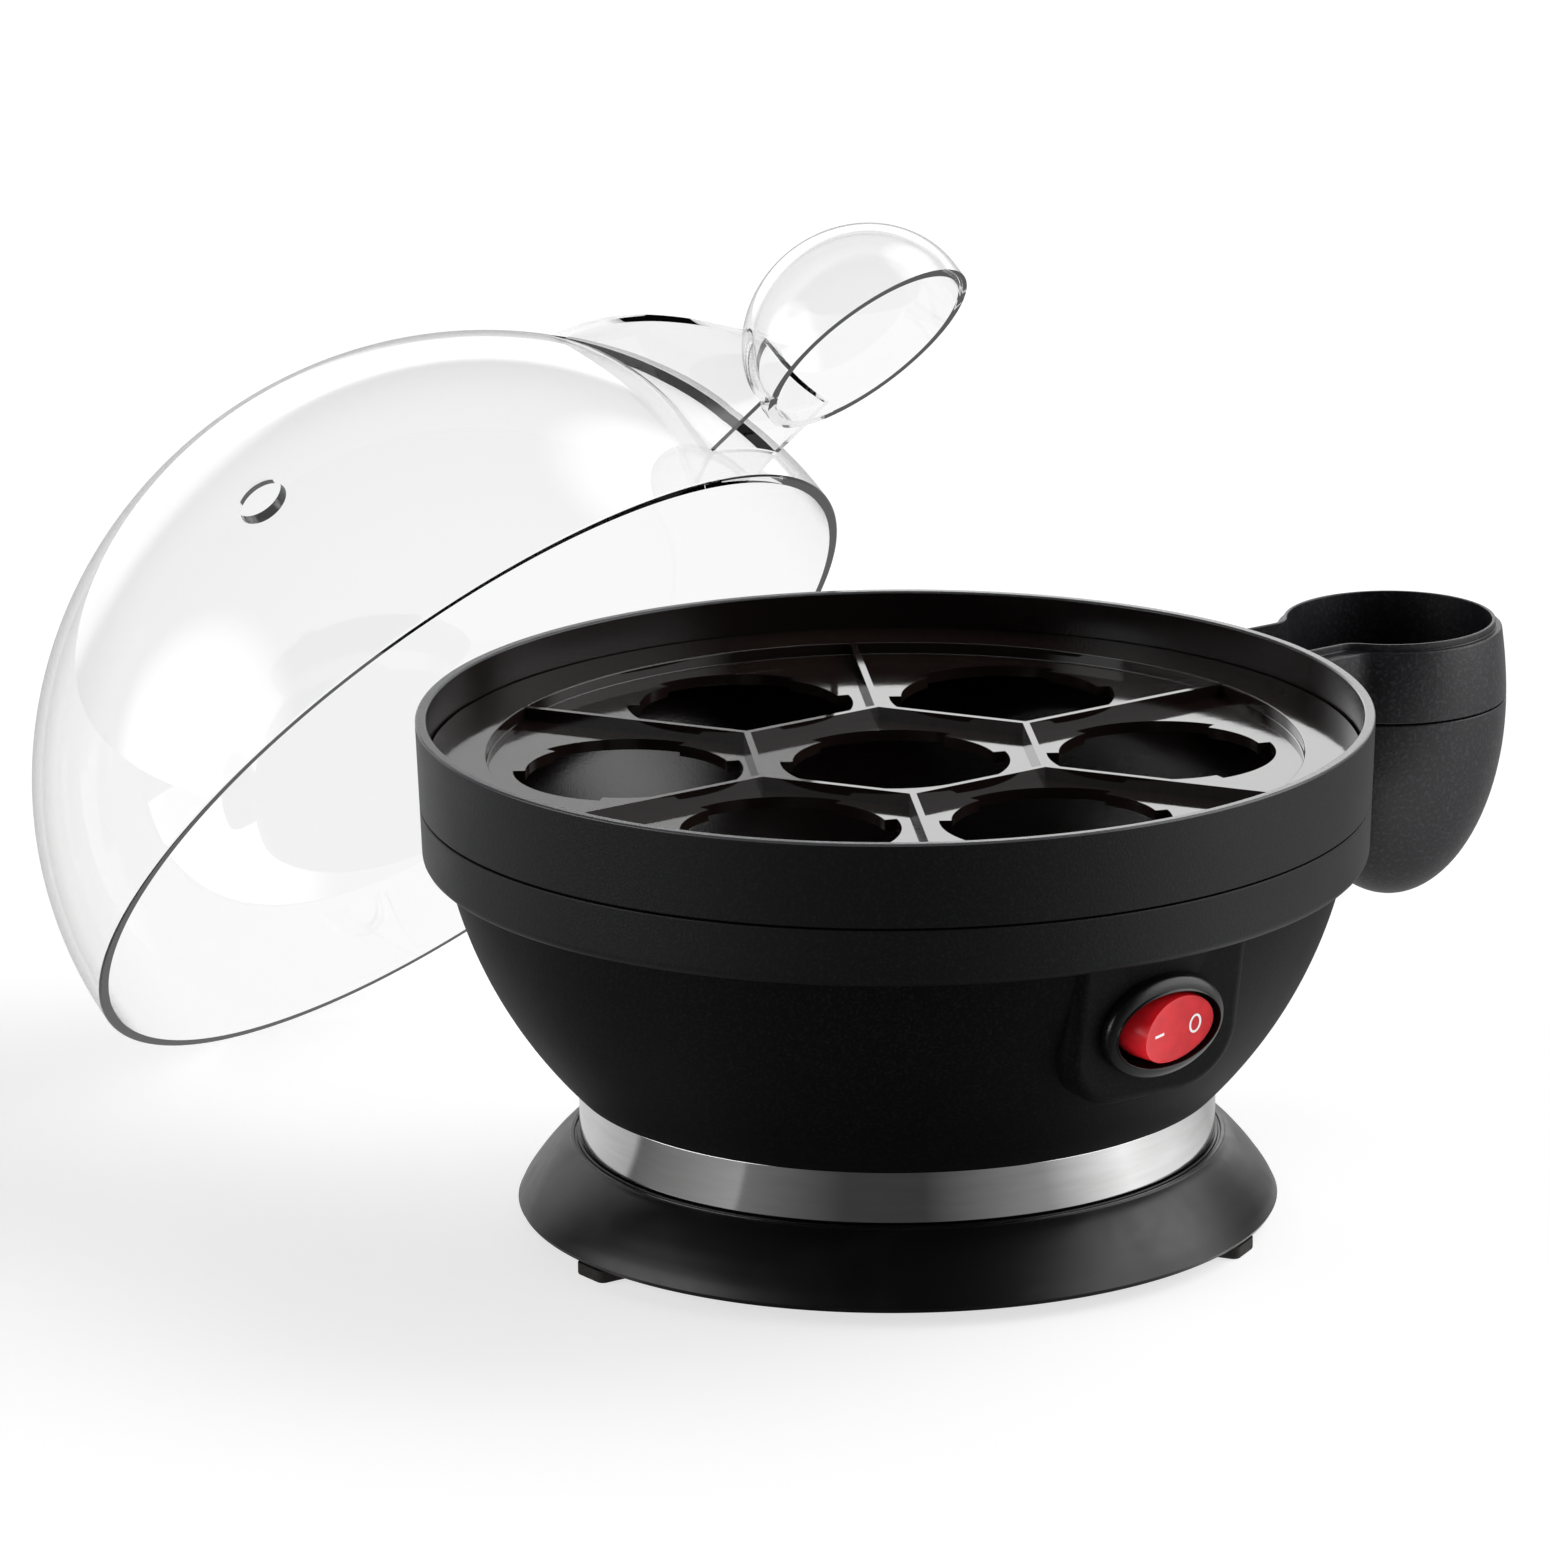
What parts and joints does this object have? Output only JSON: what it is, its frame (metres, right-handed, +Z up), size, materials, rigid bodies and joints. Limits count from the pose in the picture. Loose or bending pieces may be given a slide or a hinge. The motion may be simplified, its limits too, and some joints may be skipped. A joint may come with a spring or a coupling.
{
  "type": "egg cooker",
  "caption": "Round electric egg cooker: bowl base with steel trim band, egg rack, rocker switch, side cup and clear domed lid standing beside it.",
  "frame": {"origin": "centre of the flat underside of the bottom cover, on the bowl's axis", "axes": "+Z up, +X towards the side cup, -Y towards the rocker switch"},
  "size_m": [0.2328, 0.2732, 0.1668],
  "materials": {
    "black_shell": "fine-grained matte black",
    "black_satin": "satin black",
    "black_gloss": "smooth satin black",
    "rack_brown": "glossy dark brown",
    "clear_plastic": "clear and glossy",
    "steel_plate": "spun",
    "steel_hidden": "plain",
    "brushed_band": "brushed round the band",
    "aluminium": "as cast",
    "silicone": "matte",
    "rubber": "matte",
    "ceramic": "unglazed",
    "brass": "plain",
    "brown_lead": "smooth sheath",
    "blue_lead": "smooth sheath",
    "red_clear": "translucent red"
  },
  "bodies": {
    "base": {"upper_housing": "black_shell", "lower_housing": "black_shell", "heating_plate": "steel_plate", "plate_seal": "silicone", "heat_spreader": "aluminium", "heating_element": "aluminium", "plate_clamp": "steel_hidden", "clamp_screw_1": "steel_hidden", "clamp_screw_2": "steel_hidden", "clamp_screw_3": "steel_hidden", "thermostat": "ceramic", "thermal_fuse": "ceramic", "fuse_clip": "steel_hidden", "trim_band": "brushed_band", "base_skirt": "black_satin", "bottom_cover": "black_satin", "foot_1": "rubber", "foot_2": "rubber", "foot_3": "rubber", "cover_screw_1": "steel_hidden", "cover_screw_2": "steel_hidden", "cover_screw_3": "steel_hidden", "switch_bezel": "black_gloss", "switch_body": "black_satin", "switch_terminal_1": "brass", "switch_terminal_2": "brass", "cord_inlet": "rubber", "terminal_block": "ceramic", "lead_live": "brown_lead", "lead_switched": "brown_lead", "lead_fused": "brown_lead", "lead_element": "brown_lead", "lead_neutral": "blue_lead"},
    "rack": {"egg_rack": "rack_brown"},
    "lid": {"lid": "clear_plastic"},
    "rocker": {"rocker": "red_clear"}
  },
  "joints": [
    {"name": "lid_lift", "type": "slide", "parent": "base", "child": "lid", "axis": [0, 0, 1], "range_m": [0, 0.12]},
    {"name": "rack_lift", "type": "slide", "parent": "base", "child": "rack", "axis": [0, 0, 1], "range_m": [0, 0.016]},
    {"name": "rocker_tilt", "type": "hinge", "parent": "base", "child": "rocker", "pos_m": [0, -0.07306, 0.0516], "axis": [0, -0.1736, 0.9848], "range_deg": [-21, 0]}
  ]
}
